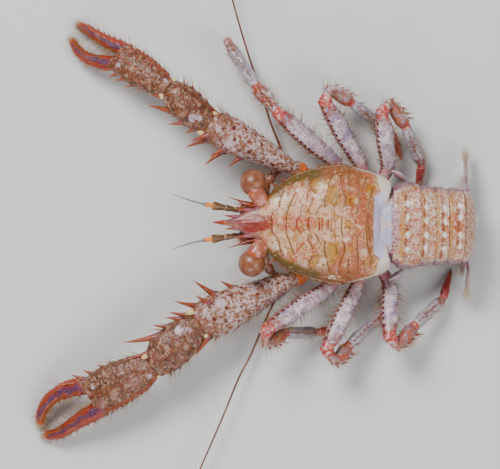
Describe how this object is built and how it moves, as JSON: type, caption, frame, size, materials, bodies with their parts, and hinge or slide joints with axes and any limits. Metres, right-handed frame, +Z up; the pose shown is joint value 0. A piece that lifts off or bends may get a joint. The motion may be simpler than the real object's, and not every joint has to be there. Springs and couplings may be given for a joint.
{
  "type": "squat lobster",
  "caption": "Squat lobster (Galathea spinosorostris), a still life-size model with spiny claws held forward and its tail bent down, standing on its feet and claw tips.",
  "frame": {"origin": "on the floor under the middle of the whole animal's box, antennae included", "axes": "-X towards the head, +Y to the animal's right side, +Z up"},
  "size_m": [0.0286, 0.0436, 0.0058],
  "materials": {
    "carapace_shell": "hard chitin shell, cream with olive-green flanks and red-brown cross ridges, satin",
    "under_shell": "thin pink chitin with red speckles, satin",
    "abdomen_shell": "cream-white chitin with rows of orange-brown dots, lavender at the sides, satin",
    "tail_fan": "thin lilac-pink chitin plates fringed with hairs",
    "eye": "smooth copper-brown cornea on a pink stalk, glossy",
    "feeler": "slender chitin feelers, olive and orange bands on the antennules",
    "claw_shell": "rough spiny chitin mottled pink-white and brown-red, with red spines and fingers",
    "leg_shell": "lilac-white chitin with rows of brown-red spots and coral-red joints"
  },
  "bodies": {
    "root": {"carapace": "carapace_shell", "thorax": "under_shell", "abdomen_somite_1": "abdomen_shell", "abdomen_somite_2": "abdomen_shell", "abdomen_somite_3": "abdomen_shell", "abdomen_somite_4": "abdomen_shell", "abdomen_somite_5": "abdomen_shell", "abdomen_somite_6": "abdomen_shell", "telson": "tail_fan", "uropod_right": "tail_fan", "uropod_left": "tail_fan", "eye_right": "eye", "eye_left": "eye", "antennule_right": "feeler", "antennule_left": "feeler", "antenna_base_right": "feeler", "antenna_base_left": "feeler", "antenna_whip_near_right": "feeler", "antenna_whip_near_left": "feeler", "antenna_whip_far_right": "feeler", "antenna_whip_far_left": "feeler", "maxilliped_right": "under_shell", "maxilliped_left": "under_shell", "cheliped_ischium_right": "claw_shell", "cheliped_ischium_left": "claw_shell", "cheliped_merus_right": "claw_shell", "cheliped_merus_left": "claw_shell", "cheliped_carpus_right": "claw_shell", "cheliped_carpus_left": "claw_shell", "cheliped_palm_right": "claw_shell", "cheliped_palm_left": "claw_shell", "cheliped_finger_right": "claw_shell", "cheliped_finger_left": "claw_shell", "leg_2_right_merus": "leg_shell", "leg_2_right_carpus": "leg_shell", "leg_2_right_propodus": "leg_shell", "leg_2_right_dactylus": "leg_shell", "leg_2_left_merus": "leg_shell", "leg_2_left_carpus": "leg_shell", "leg_2_left_propodus": "leg_shell", "leg_2_left_dactylus": "leg_shell", "leg_3_right_merus": "leg_shell", "leg_3_right_carpus": "leg_shell", "leg_3_right_propodus": "leg_shell", "leg_3_right_dactylus": "leg_shell", "leg_3_left_merus": "leg_shell", "leg_3_left_carpus": "leg_shell", "leg_3_left_propodus": "leg_shell", "leg_3_left_dactylus": "leg_shell", "leg_4_right_merus": "leg_shell", "leg_4_right_carpus": "leg_shell", "leg_4_right_propodus": "leg_shell", "leg_4_right_dactylus": "leg_shell", "leg_4_left_merus": "leg_shell", "leg_4_left_carpus": "leg_shell", "leg_4_left_propodus": "leg_shell", "leg_4_left_dactylus": "leg_shell", "leg_5_right": "leg_shell", "leg_5_left": "leg_shell"}
  },
  "joints": []
}
